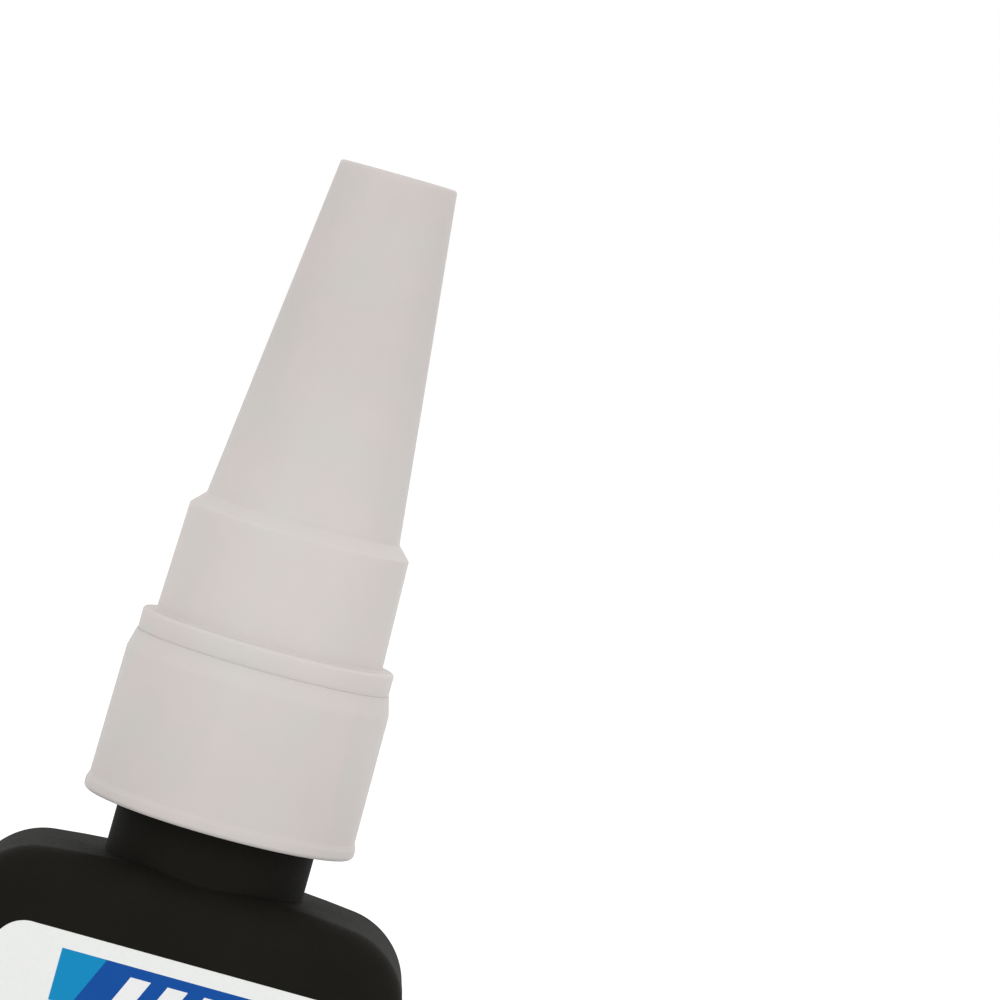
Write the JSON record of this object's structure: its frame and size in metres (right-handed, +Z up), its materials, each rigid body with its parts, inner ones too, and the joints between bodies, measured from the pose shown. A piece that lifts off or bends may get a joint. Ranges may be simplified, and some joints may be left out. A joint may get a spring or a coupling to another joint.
{
  "type": "adhesive bottle",
  "caption": "Flat black squeeze bottle for cyanoacrylate adhesive, with front and back labels, a screw-on dispensing nozzle and a tall conical push-on cap that carries an anti-clog pin.",
  "frame": {"origin": "centre of the base, on the plane that the bottle stands on", "axes": "+Z up along the nozzle, +X across the width, +Y from the front label to the back label"},
  "size_m": [0.035, 0.0216, 0.1083],
  "materials": {
    "black_plastic": "satin black polyethylene",
    "label_film": "satin white film",
    "adhesive": "clear liquid",
    "foil": "bright foil",
    "foam": "white foam",
    "nozzle_plastic": "natural polyethylene",
    "cap_plastic": "natural polyethylene",
    "steel": "drawn steel wire"
  },
  "bodies": {
    "bottle": {"bottle": "black_plastic", "front_label": "label_film", "back_label": "label_film", "adhesive": "adhesive", "foil_seal": "foil"},
    "liner": {"seal_liner": "foam"},
    "nozzle": {"nozzle": "nozzle_plastic"},
    "cap": {"cap": "cap_plastic", "sealing_pin": "steel"}
  },
  "joints": [
    {"name": "nozzle_lift", "type": "slide", "parent": "bottle", "child": "liner", "axis": [0, 0, 1], "range_m": [0, 0.01201]},
    {"name": "nozzle_turn", "type": "hinge", "parent": "liner", "child": "nozzle", "pos_m": [0, 0, 0.0693], "axis": [0, 0, 1], "range_deg": [0, 1440]},
    {"name": "cap_pull", "type": "slide", "parent": "nozzle", "child": "cap", "axis": [0, 0, 1], "range_m": [0, 0.045]}
  ],
  "couplings": [
    {"joint": "nozzle_lift", "follows": "nozzle_turn", "m_per_rad": 0.00047746}
  ]
}
